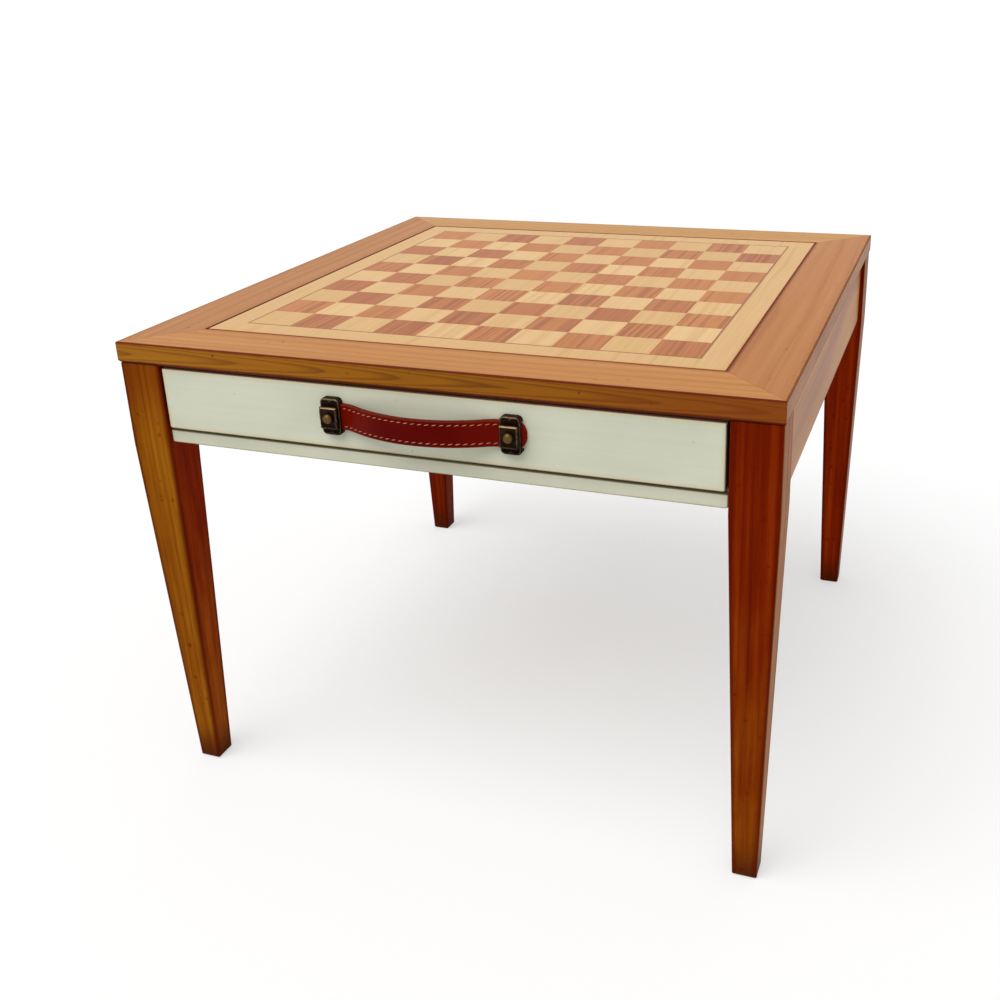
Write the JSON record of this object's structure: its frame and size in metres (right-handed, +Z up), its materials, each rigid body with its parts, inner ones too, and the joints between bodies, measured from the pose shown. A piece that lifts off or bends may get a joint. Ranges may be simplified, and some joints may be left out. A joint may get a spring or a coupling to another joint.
{
  "type": "games table",
  "caption": "Low square table with an inlaid chequered board in a mitred frame, tapered legs and one drawer that slides out by a leather strap.",
  "frame": {"origin": "on the floor, below the middle of the whole outline, handle included", "axes": "+Z up; the drawer opens to -Y; +X to the right of someone facing the drawer"},
  "size_m": [0.6, 0.6205, 0.45],
  "materials": {
    "cherry": "satin varnish, worn",
    "top_cherry": "satin varnish",
    "light_veneer": "satin varnish",
    "dark_veneer": "satin varnish",
    "border_veneer": "satin varnish",
    "stringing": "satin varnish",
    "painted_wood": "worn pale paint",
    "core_board": "bare",
    "pine": "bare, planed",
    "plywood": "bare",
    "strap_leather": "waxed cognac red",
    "dark_bronze": "dark patina, worn edges",
    "brass": "worn",
    "steel": "zinc plated"
  },
  "bodies": {
    "table": {"leg_front_left": "cherry", "leg_front_right": "cherry", "leg_back_left": "cherry", "leg_back_right": "cherry", "side_apron_left": "cherry", "side_apron_right": "cherry", "back_apron": "cherry", "front_rail": "painted_wood", "front_top_rail": "pine", "top_member_front": "top_cherry", "top_member_right": "top_cherry", "top_member_back": "top_cherry", "top_member_left": "top_cherry", "mitre_splines": "pine", "board_core": "core_board", "board_backing": "plywood", "light_squares": "light_veneer", "dark_squares": "dark_veneer", "board_stringing": "stringing", "board_border": "border_veneer", "drawer_runner_left": "pine", "drawer_runner_right": "pine", "drawer_guide_left": "pine", "drawer_guide_right": "pine", "drawer_kicker_left": "pine", "drawer_kicker_right": "pine", "drawer_stops": "pine", "corner_block_left": "pine", "corner_block_right": "pine", "corner_block_screws": "steel", "guide_screws": "steel", "top_screws": "steel"},
    "drawer": {"drawer_front": "painted_wood", "drawer_side_left": "pine", "drawer_side_right": "pine", "drawer_back": "pine", "drawer_bottom": "plywood", "drawer_bottom_screws": "steel", "handle_strap": "strap_leather", "strap_plate_left": "dark_bronze", "strap_plate_right": "dark_bronze", "clamp_block_left": "dark_bronze", "clamp_block_right": "dark_bronze", "handle_screws": "brass", "plate_pins": "dark_bronze"}
  },
  "joints": [
    {"name": "drawer_slide", "type": "slide", "parent": "table", "child": "drawer", "axis": [0, -1, 0], "range_m": [0, 0.34]}
  ]
}
